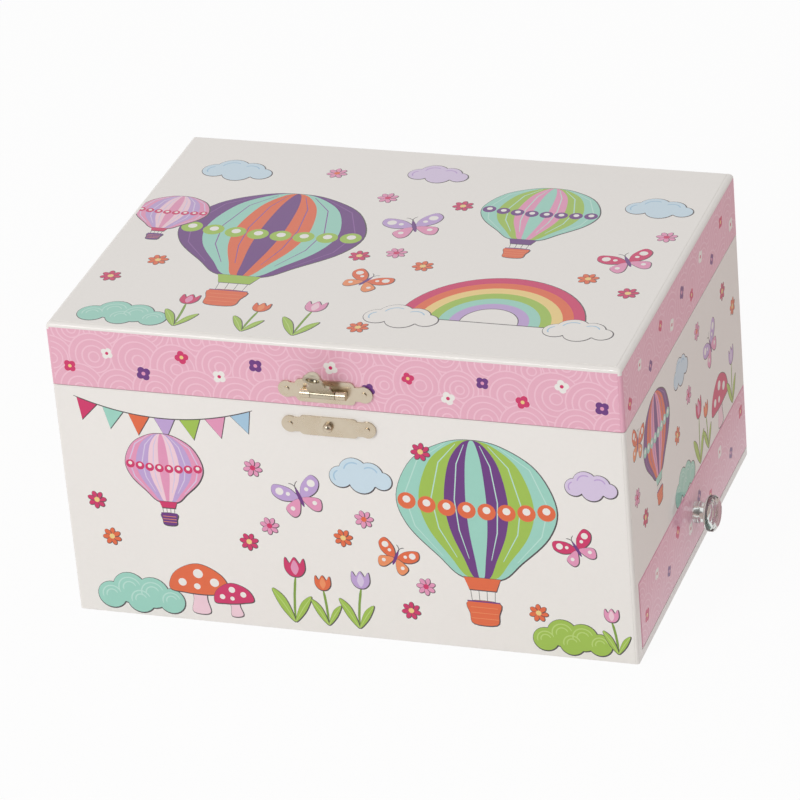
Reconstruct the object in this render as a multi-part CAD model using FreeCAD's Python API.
import FreeCAD
import Part
import math
import os

# Musical jewellery box: a paper-covered board case with a hinged lid, a side drawer,
# a front clasp and a key-wound movement that turns a dancer on a spring.
# Millimetres, +X to the drawer side, +Y to the back, +Z up.
# The origin is the middle of the case's footprint, on the surface it stands on.

# Case and lid boards
BOX_WIDTH = 200.0
BOX_DEPTH = 146.0
CASE_HEIGHT = 88.0
LID_HEIGHT = 23.4
WALL = 4.5
BASE_THICK = 3.0
FLOOR_THICK = 3.0
LID_TOP_THICK = 2.4
LID_GAP = 0.3
CORNER_ROUND = 1.0
LID_EDGE_ROUND = 1.6

# Drawer
DRAWER_FRONT_HEIGHT = 25.0
DRAWER_GAP = 0.4
DRAWER_SIDE_THICK = 3.0
DRAWER_SIDE_HEIGHT = 20.0
DRAWER_BOTTOM_THICK = 2.0

# Clear knob and its screw
KNOB_BASE_RADIUS = 4.0
KNOB_NECK_RADIUS = 3.6
KNOB_HEAD_RADIUS = 6.4
KNOB_BASE_LENGTH = 0.9
KNOB_NECK_LENGTH = 3.3
KNOB_HEAD_LENGTH = 4.4
KNOB_EDGE_LENGTH = 1.0
KNOB_TABLE_RADIUS = 4.2
KNOB_FACETS = 16
KNOB_SCREW_RADIUS = 1.2
KNOB_SCREW_DEPTH = 3.6

# Linings and compartment fittings
LINING_THICK = 0.8
LINING_DROP = 2.0
DIVIDER_THICK = 2.0
DIVIDER_HEIGHT = 24.0
RING_BAY_WIDTH = 57.0
RING_ROLL_COUNT = 6
RING_ROLL_GAP = 0.8
RING_ROLL_HEIGHT = 14.0
SOFT_GAP = 0.3

# Mirror in the lid
MIRROR_WIDTH = 116.0
MIRROR_DEPTH = 88.0
MIRROR_THICK = 2.0
MIRROR_FRAME_WIDTH = 6.0
MIRROR_FRAME_THICK = 2.6

# Nails that hold the clasp and the hinges
NAIL_SHANK_RADIUS = 0.5
NAIL_SHANK_LENGTH = 3.4
NAIL_HEAD_RADIUS = 0.9
NAIL_HEAD_HEIGHT = 0.4

# Back hinges
HINGE_SPACING = 110.0
HINGE_WIDTH = 20.0
HINGE_LEAF_HEIGHT = 9.0
LEAF_THICK = 0.8
HINGE_BARREL_RADIUS = 1.5
HINGE_PIN_RADIUS = 0.7
PIVOT_GAP = 0.05
KNUCKLE_GAP = 0.2
LEAF_CLEARANCE = 0.3

# Front clasp
CLASP_OFFSET = -2.0
CLASP_LENGTH = 33.0
CLASP_PLATE_HEIGHT = 8.4
KEEPER_HEIGHT = 7.0
CLASP_LOBE_RADIUS = 3.0
CLASP_NECK_HEIGHT = 5.2
CLASP_WAIST = 10.4
CLASP_SHOULDER = 1.9
CLASP_RISE = 6.3
KEEPER_DROP = 6.9
CLASP_BARREL_RADIUS = 1.5
CLASP_PIN_RADIUS = 0.7
CLASP_KNUCKLE_LENGTH = 3.4
FLAP_BASE_WIDTH = 8.6
FLAP_TIP_RADIUS = 3.4
FLAP_THICK = 0.8
FLAP_OPEN_ANGLE = 140.0
STUD_RADIUS = 1.7
STUD_HEIGHT = 2.3
DIMPLE_GAP = 0.6

# Movement bay and cover
BAY_WIDTH = 57.0
BAY_WALL = 3.0
BARREL_ROOM = 1.0
COVER_HEIGHT = 10.4
COVER_THICK = 1.5
COVER_DEPTH = 62.0
COVER_LEDGE = 3.0
BUSH_RADIUS = 4.0
BUSH_FLANGE = 1.0

# Movement frame
BED_THICK = 2.5
BED_MARGIN = 2.5
POST_THICK = 2.0
POST_WIDTH = 6.0
SLIM_POST_WIDTH = 3.4
MOVEMENT_SCREW_RADIUS = 1.4
MOVEMENT_SCREW_HEAD_RADIUS = 2.6
MOVEMENT_SCREW_HEAD_HEIGHT = 1.2

# Gear train
PRESSURE_ANGLE = math.radians(20.0)
ADDENDUM = 0.8
DEDENDUM = 1.2
TOOTH_SHARE = 0.72
TRAIN_MODULE = 0.5
GREAT_WHEEL_TEETH = 48
CYLINDER_PINION_TEETH = 12
CROWN_MODULE = 0.6
CROWN_TEETH = 28
CROWN_WIDTH = 1.1
DANCER_PINION_TEETH = 10
GOVERNOR_MODULE = 0.4
CYLINDER_GEAR_TEETH = 40
GOVERNOR_PINION_TEETH = 10
WORM_WHEEL_TEETH = 24
WORM_STARTS = 3
WORM_RADIUS = 1.6
WORM_LENGTH = 7.0
GEAR_WIDTH = 2.0
GOVERNOR_GEAR_WIDTH = 1.6
WORM_WHEEL_WIDTH = 0.8

# Spring barrel, winding arbor and key
BARREL_RADIUS = 11.0
BARREL_LENGTH = 14.0
BARREL_WALL = 0.8
ARBOR_RADIUS = 2.0
MAINSPRING_TURNS = 7
MAINSPRING_THICK = 0.35
RUNNING_GAP = 0.08
KEY_HOLE_RADIUS = 3.5
KEY_HUB_RADIUS = 3.0
KEY_HUB_LENGTH = 8.0
KEY_STANDOFF = 2.0
KEY_WING_RADIUS = 5.0
KEY_WING_SPREAD = 5.5
KEY_WING_THICK = 1.6
KEY_WING_LENGTH = 10.0

# Pinned cylinder and comb
CYLINDER_RADIUS = 7.0
CYLINDER_LENGTH = 19.0
CYLINDER_ARBOR_RADIUS = 1.0
PIN_WIDTH = 0.5
PIN_HEIGHT = 0.6
PINS_PER_NOTE = 3
NOTES = 18
COMB_TOOTH_LENGTH = 11.0
COMB_BASE_LENGTH = 7.0
COMB_THICK = 1.2
COMB_SLOT = 0.35
COMB_TIP_GAP = 0.25
COMB_SCREW_RADIUS = 0.9
COMB_SCREW_HEAD_RADIUS = 1.7
COMB_SCREW_HEAD_HEIGHT = 1.2

# Governor fan and stop rod
FAN_ARBOR_RADIUS = 0.6
FAN_RADIUS = 4.4
FAN_HEIGHT = 6.0
FAN_THICK = 0.6
STOP_ROD_RADIUS = 0.6
STOP_ROD_BEND = 3.0
STOP_ROD_WALL_GAP = 3.4
STOP_GAP = 0.4
GUIDE_HEIGHT = 4.0

# Dancer
SPINDLE_RADIUS = 1.0
SPRING_TURNS = 5
SPRING_COIL_RADIUS = 2.2
SPRING_WIRE_RADIUS = 0.4
SPRING_WIRE_SIDES = 8
SPRING_PITCH = 1.4
CUP_RADIUS = 3.4
CUP_HEIGHT = 1.6
FIGURE_HEIGHT = 40.0
HEAD_RADIUS = 3.0
ARM_RADIUS = 0.7
TUTU_RADIUS = 12.0
TUTU_FOLDS = 12
TUTU_THICK = 0.8
TUTU_WAVE = 0.9

# Places worked out from the sizes above
V = FreeCAD.Vector
X_AXIS = V(1, 0, 0)
Y_AXIS = V(0, 1, 0)
Z_AXIS = V(0, 0, 1)
HALF_WIDTH = BOX_WIDTH / 2
HALF_DEPTH = BOX_DEPTH / 2
IN_LEFT = -HALF_WIDTH + WALL
IN_RIGHT = HALF_WIDTH - WALL
IN_FRONT = -HALF_DEPTH + WALL
IN_BACK = HALF_DEPTH - WALL
DRAWER_LOW = BASE_THICK + DRAWER_GAP
DRAWER_TOP = DRAWER_LOW + DRAWER_FRONT_HEIGHT
DRAWER_BAY_TOP = DRAWER_TOP + DRAWER_GAP
FLOOR_TOP = DRAWER_BAY_TOP + FLOOR_THICK
LID_LOW = CASE_HEIGHT + LID_GAP
LID_TOP = CASE_HEIGHT + LID_HEIGHT
RAIL_TOP = LID_TOP - LID_TOP_THICK
COVER_TOP = FLOOR_TOP + COVER_HEIGHT
COVER_FRONT = IN_BACK - COVER_DEPTH

HINGE_Y = HALF_DEPTH + HINGE_BARREL_RADIUS + KNUCKLE_GAP
HINGE_Z = CASE_HEIGHT + LID_GAP / 2
CLASP_FACE = -HALF_DEPTH - LEAF_THICK
CLASP_AXIS_Y = CLASP_FACE - CLASP_BARREL_RADIUS - KNUCKLE_GAP
CLASP_AXIS_Z = CASE_HEIGHT + CLASP_RISE
KEEPER_Z = CASE_HEIGHT - KEEPER_DROP

GREAT_RADIUS = GREAT_WHEEL_TEETH * TRAIN_MODULE / 2
GREAT_TIP = GREAT_RADIUS + ADDENDUM * TRAIN_MODULE
CYLINDER_PINION_RADIUS = CYLINDER_PINION_TEETH * TRAIN_MODULE / 2
CROWN_RADIUS = CROWN_TEETH * CROWN_MODULE / 2
DANCER_PINION_RADIUS = DANCER_PINION_TEETH * CROWN_MODULE / 2
CYLINDER_GEAR_RADIUS = CYLINDER_GEAR_TEETH * GOVERNOR_MODULE / 2
GOVERNOR_PINION_RADIUS = GOVERNOR_PINION_TEETH * GOVERNOR_MODULE / 2
WORM_WHEEL_RADIUS = WORM_WHEEL_TEETH * GOVERNOR_MODULE / 2

BAY_RIGHT = IN_LEFT + BAY_WIDTH
BED_LEFT = IN_LEFT + BED_MARGIN
BED_RIGHT = BAY_RIGHT - BED_MARGIN
BED_BACK = IN_BACK - BED_MARGIN
BED_TOP = BASE_THICK + BED_THICK
AXIS_Z = BED_TOP + LEAF_CLEARANCE + GREAT_TIP
BARREL_X = BED_LEFT + LEAF_CLEARANCE + GREAT_TIP + BARREL_ROOM
CYLINDER_X = BARREL_X + GREAT_RADIUS + CYLINDER_PINION_RADIUS
GOVERNOR_X = CYLINDER_X + CYLINDER_GEAR_RADIUS + GOVERNOR_PINION_RADIUS
WORM_X = GOVERNOR_X + WORM_WHEEL_RADIUS + WORM_RADIUS

REAR_POST_Y = BED_BACK - POST_THICK
BARREL_BACK = REAR_POST_Y - LEAF_CLEARANCE
BARREL_FRONT = BARREL_BACK - BARREL_LENGTH
GREAT_FRONT = BARREL_FRONT - GEAR_WIDTH
CROWN_PITCH_Y = GREAT_FRONT - DEDENDUM * CROWN_MODULE
DANCER_Y = CROWN_PITCH_Y - DANCER_PINION_RADIUS
DANCER_PINION_Z = AXIS_Z + CROWN_RADIUS
ARBOR_POST_BACK = DANCER_Y - SPINDLE_RADIUS - LEAF_CLEARANCE
ARBOR_POST_FRONT = ARBOR_POST_BACK - POST_THICK
CYLINDER_BACK = ARBOR_POST_FRONT - LEAF_CLEARANCE
CYLINDER_FRONT = CYLINDER_BACK - CYLINDER_LENGTH
GOVERNOR_BACK = CYLINDER_FRONT
GOVERNOR_FRONT = GOVERNOR_BACK - GOVERNOR_GEAR_WIDTH
WORM_Y = GOVERNOR_FRONT - LEAF_CLEARANCE - WORM_WHEEL_WIDTH
FRONT_POST_BACK = WORM_Y - WORM_WHEEL_WIDTH
BED_FRONT = FRONT_POST_BACK - POST_THICK - POST_WIDTH
BED_DEPTH = BED_BACK - BED_FRONT
WORM_WHEEL_TIP = WORM_WHEEL_RADIUS + ADDENDUM * GOVERNOR_MODULE
FAN_LOW = AXIS_Z + max(WORM_LENGTH / 2, WORM_WHEEL_TIP) + LEAF_CLEARANCE
FAN_TOP = FAN_LOW + FAN_HEIGHT
STOP_ROD_Y = IN_BACK - STOP_ROD_WALL_GAP


def box(low, high):
    """A block between two corners."""
    size = [b - a for a, b in zip(low, high)]
    return Part.makeBox(size[0], size[1], size[2], V(*low))


def rod(radius, start, axis, length):
    """A round bar from a point along an axis."""
    return Part.makeCylinder(radius, length, V(*start), axis)


def fused(shapes):
    """Several solids made one, without leftover seams."""
    shape = shapes[0].multiFuse(shapes[1:])
    return shape.removeSplitter()


def turned_to_y(shape, x, y, z):
    """A shape made about +Z, laid along +Y with its foot at a point."""
    shape = shape.copy()
    shape.rotate(V(0, 0, 0), X_AXIS, -90)
    shape.translate(V(x, y, z))
    return shape


def upright_edges(shape, corners):
    """The vertical edges of a board that stand at the given (x, y) corners."""
    found = []
    for edge in shape.Edges:
        a = edge.Vertexes[0].Point
        b = edge.Vertexes[-1].Point
        if abs(a.x - b.x) + abs(a.y - b.y) > 1e-6:
            continue
        if any(abs(a.x - x) + abs(a.y - y) < 1e-6 for x, y in corners):
            found.append(edge)
    return found


def revolved(points, axis):
    """A closed outline of straight lines in a plane through the axis, spun about it."""
    outline = Part.makePolygon([V(*p) for p in points + points[:1]])
    return Part.Face(outline).revolve(V(0, 0, 0), axis, 360)


def save(name, shape):
    shape.exportStep(os.path.join("parts", name + ".step"))


# Nails with a low round head, driven square into a board
def nail(point, into):
    head = rod(NAIL_HEAD_RADIUS, point - into * NAIL_HEAD_HEIGHT, into, NAIL_HEAD_HEIGHT)
    shank = rod(NAIL_SHANK_RADIUS, point, into, NAIL_SHANK_LENGTH)
    return head.fuse(shank)


def nails(points, into):
    return Part.makeCompound([nail(p, into) for p in points])


def hinge_nail_points(side):
    """Nail places on the two hinge leaves below (-1) or above (+1) the pivot line."""
    y = HALF_DEPTH + LEAF_THICK
    z = HINGE_Z + side * HINGE_LEAF_HEIGHT * 0.68
    return [
        V(hinge * HINGE_SPACING / 2 + end * HINGE_WIDTH * 0.32, y, z)
        for hinge in (-1, 1)
        for end in (-1, 1)
    ]


def clasp_nail_points(z):
    reach = CLASP_LENGTH / 2 - CLASP_LOBE_RADIUS
    return [V(CLASP_OFFSET + end * reach, CLASP_FACE, z) for end in (-1, 1)]


case_hinge_nails = nails(hinge_nail_points(-1), -Y_AXIS)
lid_hinge_nails = nails(hinge_nail_points(1), -Y_AXIS)
keeper_nails = nails(clasp_nail_points(KEEPER_Z), Y_AXIS)
clasp_nails = nails(clasp_nail_points(CLASP_AXIS_Z), Y_AXIS)


# Case boards
def movement_screw_points():
    inset = POST_WIDTH / 2
    return [
        (BED_LEFT + inset, BED_FRONT + inset),
        (BED_RIGHT - inset, BED_FRONT + inset),
        (BED_RIGHT - inset, BED_BACK - inset),
    ]


def movement_screw(x, y):
    """A flat-headed screw let into the underside, up into the movement's bed."""
    sunk = 0.2
    head = rod(MOVEMENT_SCREW_HEAD_RADIUS, (x, y, sunk), Z_AXIS, MOVEMENT_SCREW_HEAD_HEIGHT)
    slot = box(
        (x - MOVEMENT_SCREW_HEAD_RADIUS, y - sunk, sunk),
        (x + MOVEMENT_SCREW_HEAD_RADIUS, y + sunk, sunk + MOVEMENT_SCREW_HEAD_HEIGHT / 2),
    )
    shank = rod(MOVEMENT_SCREW_RADIUS, (x, y, sunk), Z_AXIS, BED_TOP - sunk)
    return head.cut(slot).fuse(shank.cut(slot))


movement_screws = Part.makeCompound([movement_screw(x, y) for x, y in movement_screw_points()])


def screw_wells():
    """The countersunk wells that the movement's screws go up through."""
    wells = []
    for x, y in movement_screw_points():
        wells.append(
            rod(MOVEMENT_SCREW_HEAD_RADIUS, (x, y, 0), Z_AXIS, 0.2 + MOVEMENT_SCREW_HEAD_HEIGHT)
        )
        wells.append(rod(MOVEMENT_SCREW_RADIUS, (x, y, 0), Z_AXIS, BED_TOP))
    return Part.makeCompound(wells)


def base_board():
    board = box((-HALF_WIDTH, -HALF_DEPTH, 0), (HALF_WIDTH, HALF_DEPTH, BASE_THICK))
    corners = [(sx * HALF_WIDTH, sy * HALF_DEPTH) for sx in (-1, 1) for sy in (-1, 1)]
    board = board.makeFillet(CORNER_ROUND, upright_edges(board, corners))
    return board.cut(screw_wells())


def front_panel():
    panel = box((-HALF_WIDTH, -HALF_DEPTH, BASE_THICK), (HALF_WIDTH, IN_FRONT, CASE_HEIGHT))
    corners = [(-HALF_WIDTH, -HALF_DEPTH), (HALF_WIDTH, -HALF_DEPTH)]
    panel = panel.makeFillet(CORNER_ROUND, upright_edges(panel, corners))
    return panel.cut(keeper_nails).cut(keeper_stud())


def back_panel():
    """Stops short at the drawer's corner, where the drawer front runs past its end."""
    panel = box((-HALF_WIDTH, IN_BACK, BASE_THICK), (HALF_WIDTH, HALF_DEPTH, CASE_HEIGHT))
    corners = [(-HALF_WIDTH, HALF_DEPTH), (HALF_WIDTH, HALF_DEPTH)]
    panel = panel.makeFillet(CORNER_ROUND, upright_edges(panel, corners))
    notch = box(
        (IN_RIGHT - DRAWER_GAP, IN_BACK - WALL, BASE_THICK),
        (HALF_WIDTH + WALL, HALF_DEPTH + WALL, DRAWER_BAY_TOP),
    )
    key_hole = rod(KEY_HOLE_RADIUS, (BARREL_X, IN_BACK - WALL, AXIS_Z), Y_AXIS, 3 * WALL)
    return panel.cut(notch).cut(key_hole).cut(case_hinge_nails).cut(stop_rod_guide())


def left_panel():
    return box((-HALF_WIDTH, IN_FRONT, BASE_THICK), (IN_LEFT, IN_BACK, CASE_HEIGHT))


def right_panel():
    return box((IN_RIGHT, IN_FRONT, DRAWER_BAY_TOP), (HALF_WIDTH, IN_BACK, CASE_HEIGHT))


def bay_wall():
    return box((BAY_RIGHT, IN_FRONT, BASE_THICK), (BAY_RIGHT + BAY_WALL, IN_BACK, DRAWER_BAY_TOP))


def compartment_floor():
    """Board between the drawer and the tray, open over the movement."""
    board = box((IN_LEFT, IN_FRONT, DRAWER_BAY_TOP), (IN_RIGHT, IN_BACK, FLOOR_TOP))
    opening = box(
        (IN_LEFT + COVER_LEDGE, COVER_FRONT + COVER_LEDGE, BASE_THICK),
        (BAY_RIGHT - COVER_LEDGE, IN_BACK - COVER_THICK, COVER_TOP),
    )
    return board.cut(opening)


# Soft linings and fittings of the tray
def cover_block(grow):
    return box(
        (IN_LEFT, COVER_FRONT - grow, FLOOR_TOP),
        (BAY_RIGHT + grow, IN_BACK, COVER_TOP + grow),
    )


def compartment_lining():
    """Flocked cloth on card over the tray's floor and walls, cut round the movement's cover."""
    outer = box((IN_LEFT, IN_FRONT, FLOOR_TOP), (IN_RIGHT, IN_BACK, CASE_HEIGHT - LINING_DROP))
    inner = box(
        (IN_LEFT + LINING_THICK, IN_FRONT + LINING_THICK, FLOOR_TOP + LINING_THICK),
        (IN_RIGHT - LINING_THICK, IN_BACK - LINING_THICK, CASE_HEIGHT),
    )
    return outer.cut(inner).cut(cover_block(0)).cut(stop_rod_guide())


TRAY_LOW = FLOOR_TOP + LINING_THICK
TRAY_FRONT = IN_FRONT + LINING_THICK
TRAY_BACK = IN_BACK - LINING_THICK
TRAY_RIGHT = IN_RIGHT - LINING_THICK
RING_BAY_LEFT = TRAY_RIGHT - RING_BAY_WIDTH


def ring_divider():
    """The long card wall between the open tray and the ring bay."""
    return box(
        (RING_BAY_LEFT - DIVIDER_THICK, TRAY_FRONT, TRAY_LOW),
        (RING_BAY_LEFT, TRAY_BACK, TRAY_LOW + DIVIDER_HEIGHT),
    )


def cross_divider():
    """The short card wall behind the ring rolls."""
    return box(
        (RING_BAY_LEFT, -DIVIDER_THICK / 2, TRAY_LOW),
        (TRAY_RIGHT, DIVIDER_THICK / 2, TRAY_LOW + DIVIDER_HEIGHT),
    )


def ring_roll(y, width):
    """A foam roll in flocked cloth: flat below, full and round above."""
    left = RING_BAY_LEFT + SOFT_GAP
    half = width / 2
    shoulder = TRAY_LOW + RING_ROLL_HEIGHT - half
    low_left = V(left, y - half, TRAY_LOW)
    low_right = V(left, y + half, TRAY_LOW)
    top_left = V(left, y - half, shoulder)
    top_right = V(left, y + half, shoulder)
    crest = V(left, y, shoulder + half)
    bulge = half * math.sqrt(0.5)
    crown = [
        Part.Arc(top_right, V(left, y + bulge, shoulder + bulge), crest),
        Part.Arc(crest, V(left, y - bulge, shoulder + bulge), top_left),
    ]
    edges = [Part.makeLine(low_left, low_right), Part.makeLine(low_right, top_right)]
    edges += [arc.toShape() for arc in crown]
    edges.append(Part.makeLine(top_left, low_left))
    length = RING_BAY_WIDTH - 2 * SOFT_GAP
    return Part.Face(Part.Wire(edges)).extrude(X_AXIS * length)


def ring_rolls():
    first = TRAY_FRONT + SOFT_GAP
    last = -DIVIDER_THICK / 2 - SOFT_GAP
    pitch = (last - first + RING_ROLL_GAP) / RING_ROLL_COUNT
    width = pitch - RING_ROLL_GAP
    return Part.makeCompound(
        [ring_roll(first + i * pitch + width / 2, width) for i in range(RING_ROLL_COUNT)]
    )


# Lid
def lid_top():
    board = box((-HALF_WIDTH, -HALF_DEPTH, RAIL_TOP), (HALF_WIDTH, HALF_DEPTH, LID_TOP))
    corners = [(sx * HALF_WIDTH, sy * HALF_DEPTH) for sx in (-1, 1) for sy in (-1, 1)]
    board = board.makeFillet(CORNER_ROUND, upright_edges(board, corners))
    rim = [e for e in board.Edges if all(abs(v.Z - LID_TOP) < 1e-6 for v in e.Vertexes)]
    return board.makeFillet(LID_EDGE_ROUND, rim)


def lid_front_rail():
    rail = box((-HALF_WIDTH, -HALF_DEPTH, LID_LOW), (HALF_WIDTH, IN_FRONT, RAIL_TOP))
    corners = [(-HALF_WIDTH, -HALF_DEPTH), (HALF_WIDTH, -HALF_DEPTH)]
    return rail.makeFillet(CORNER_ROUND, upright_edges(rail, corners)).cut(clasp_nails)


def lid_back_rail():
    rail = box((-HALF_WIDTH, IN_BACK, LID_LOW), (HALF_WIDTH, HALF_DEPTH, RAIL_TOP))
    corners = [(-HALF_WIDTH, HALF_DEPTH), (HALF_WIDTH, HALF_DEPTH)]
    return rail.makeFillet(CORNER_ROUND, upright_edges(rail, corners)).cut(lid_hinge_nails)


def lid_left_rail():
    return box((-HALF_WIDTH, IN_FRONT, LID_LOW), (IN_LEFT, IN_BACK, RAIL_TOP))


def lid_right_rail():
    return box((IN_RIGHT, IN_FRONT, LID_LOW), (HALF_WIDTH, IN_BACK, RAIL_TOP))


def lid_lining():
    """Flocked cloth over the inside of the lid, turned down its four rails."""
    outer = box((IN_LEFT, IN_FRONT, LID_LOW + LINING_DROP), (IN_RIGHT, IN_BACK, RAIL_TOP))
    inner = box(
        (IN_LEFT + LINING_THICK, IN_FRONT + LINING_THICK, LID_LOW),
        (IN_RIGHT - LINING_THICK, IN_BACK - LINING_THICK, RAIL_TOP - LINING_THICK),
    )
    return outer.cut(inner)


def mirror():
    top = RAIL_TOP - LINING_THICK
    return box(
        (-MIRROR_WIDTH / 2, -MIRROR_DEPTH / 2, top - MIRROR_THICK),
        (MIRROR_WIDTH / 2, MIRROR_DEPTH / 2, top),
    )


def mirror_frame():
    """A moulded surround whose lip holds the glass against the lining."""
    top = RAIL_TOP - LINING_THICK
    reach_x = MIRROR_WIDTH / 2 + MIRROR_FRAME_WIDTH / 2
    reach_y = MIRROR_DEPTH / 2 + MIRROR_FRAME_WIDTH / 2
    low = top - MIRROR_FRAME_THICK
    frame = box((-reach_x, -reach_y, low), (reach_x, reach_y, top))
    rim = [e for e in frame.Edges if all(abs(v.Z - low) < 1e-6 for v in e.Vertexes)]
    frame = frame.makeChamfer(MIRROR_FRAME_THICK / 3, rim)
    lip_x = MIRROR_WIDTH / 2 - MIRROR_FRAME_WIDTH / 2
    lip_y = MIRROR_DEPTH / 2 - MIRROR_FRAME_WIDTH / 2
    window = box((-lip_x, -lip_y, low), (lip_x, lip_y, top))
    return frame.cut(window).cut(mirror())


# Back hinges: two leaves each, rolled round a pin
def hinge_leaf(x, side):
    """side is -1 for the leaf on the case and +1 for the leaf on the lid."""
    third = HINGE_WIDTH / 3
    middle = (-third / 2 + KNUCKLE_GAP / 2, third / 2 - KNUCKLE_GAP / 2)
    inner_end = third / 2 + KNUCKLE_GAP / 2
    outer = [(-HINGE_WIDTH / 2, -inner_end), (inner_end, HINGE_WIDTH / 2)]
    near = HINGE_BARREL_RADIUS + LEAF_CLEARANCE
    heights = sorted((HINGE_Z + side * near, HINGE_Z + side * HINGE_LEAF_HEIGHT))
    plate = box(
        (x - HINGE_WIDTH / 2, HALF_DEPTH, heights[0]),
        (x + HINGE_WIDTH / 2, HALF_DEPTH + LEAF_THICK, heights[1]),
    )
    far_corners = upright_far_edges(plate, HINGE_Z + side * HINGE_LEAF_HEIGHT)
    solids = [plate.makeFillet(LEAF_THICK * 2, far_corners)]
    for low, high in [middle] if side > 0 else outer:
        knuckle = rod(HINGE_BARREL_RADIUS, (x + low, HINGE_Y, HINGE_Z), X_AXIS, high - low)
        web_heights = sorted((HINGE_Z, HINGE_Z + side * near))
        web = box(
            (x + low, HALF_DEPTH, web_heights[0]),
            (x + high, HALF_DEPTH + LEAF_THICK, web_heights[1]),
        )
        solids += [knuckle, web]
    leaf = fused(solids)
    bore_radius = HINGE_PIN_RADIUS + (PIVOT_GAP if side > 0 else 0)
    bore = rod(bore_radius, (x - HINGE_WIDTH, HINGE_Y, HINGE_Z), X_AXIS, 2 * HINGE_WIDTH)
    return leaf.cut(bore).cut(case_hinge_nails if side < 0 else lid_hinge_nails)


def upright_far_edges(plate, z):
    """The two short edges through a leaf's thickness at its free end."""
    found = []
    for edge in plate.Edges:
        a = edge.Vertexes[0].Point
        b = edge.Vertexes[-1].Point
        if abs(a.y - b.y) > 1e-6 and abs(a.z - z) < 1e-6:
            found.append(edge)
    return found


def hinge_pin(x):
    return rod(HINGE_PIN_RADIUS, (x - HINGE_WIDTH / 2, HINGE_Y, HINGE_Z), X_AXIS, HINGE_WIDTH)


# Front clasp: scalloped plates, a swinging flap and the stud that it snaps over
def scalloped_plate(height, z):
    """A stamped plate: a tall round-shouldered middle, shallow notches and a lobe at each end."""
    reach = CLASP_LENGTH / 2 - CLASP_LOBE_RADIUS
    low = CLASP_FACE
    middle = box(
        (CLASP_OFFSET - CLASP_WAIST, low, z - height / 2),
        (CLASP_OFFSET + CLASP_WAIST, -HALF_DEPTH, z + height / 2),
    )
    corners = [e for e in middle.Edges if abs(e.Vertexes[0].Y - e.Vertexes[-1].Y) > 1e-6]
    strip = box(
        (CLASP_OFFSET - reach, low, z - CLASP_NECK_HEIGHT / 2),
        (CLASP_OFFSET + reach, -HALF_DEPTH, z + CLASP_NECK_HEIGHT / 2),
    )
    pieces = [middle.makeFillet(CLASP_SHOULDER, corners), strip]
    for end in (-1, 1):
        lobe = (CLASP_OFFSET + end * reach, low, z)
        pieces.append(rod(CLASP_LOBE_RADIUS, lobe, Y_AXIS, LEAF_THICK))
    return fused(pieces)


def clasp_knuckle(start):
    """A rolled knuckle with the strip of plate below it that it is bent from."""
    at = CLASP_OFFSET + start
    tube = rod(CLASP_BARREL_RADIUS, (at, CLASP_AXIS_Y, CLASP_AXIS_Z), X_AXIS, CLASP_KNUCKLE_LENGTH)
    low = CLASP_AXIS_Z - CLASP_BARREL_RADIUS
    strip = box(
        (at, CLASP_AXIS_Y, low),
        (at + CLASP_KNUCKLE_LENGTH, CLASP_FACE + LEAF_THICK / 2, low + LEAF_THICK),
    )
    return [tube, strip]


def clasp_plate():
    plate = scalloped_plate(CLASP_PLATE_HEIGHT, CLASP_AXIS_Z)
    inner = FLAP_BASE_WIDTH / 2 + KNUCKLE_GAP
    solids = [plate]
    solids += clasp_knuckle(inner)
    solids += clasp_knuckle(-inner - CLASP_KNUCKLE_LENGTH)
    far = CLASP_OFFSET - CLASP_LENGTH
    bore = rod(CLASP_PIN_RADIUS, (far, CLASP_AXIS_Y, CLASP_AXIS_Z), X_AXIS, 2 * CLASP_LENGTH)
    return fused(solids).cut(bore).cut(clasp_nails)


def clasp_pin():
    half = FLAP_BASE_WIDTH / 2 + KNUCKLE_GAP + CLASP_KNUCKLE_LENGTH
    return rod(CLASP_PIN_RADIUS, (CLASP_OFFSET - half, CLASP_AXIS_Y, CLASP_AXIS_Z), X_AXIS, 2 * half)


def flap_outline(front):
    """The hanging flap's face: a broad neck, two scalloped shoulders and a round tongue."""
    tip_z = KEEPER_Z
    neck = FLAP_BASE_WIDTH / 2
    shoulder_z = CLASP_AXIS_Z - (CLASP_AXIS_Z - tip_z) * 0.45
    pieces = [
        box(
            (CLASP_OFFSET - neck, front, shoulder_z),
            (CLASP_OFFSET + neck, front + FLAP_THICK, CLASP_AXIS_Z),
        ),
        box(
            (CLASP_OFFSET - FLAP_TIP_RADIUS * 0.8, front, tip_z),
            (CLASP_OFFSET + FLAP_TIP_RADIUS * 0.8, front + FLAP_THICK, shoulder_z),
        ),
        rod(FLAP_TIP_RADIUS, (CLASP_OFFSET, front, tip_z), Y_AXIS, FLAP_THICK),
    ]
    ear = neck * 0.36
    for side in (-1, 1):
        pieces.append(
            rod(ear, (CLASP_OFFSET + side * (neck - ear), front, shoulder_z), Y_AXIS, FLAP_THICK)
        )
    return fused(pieces)


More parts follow.
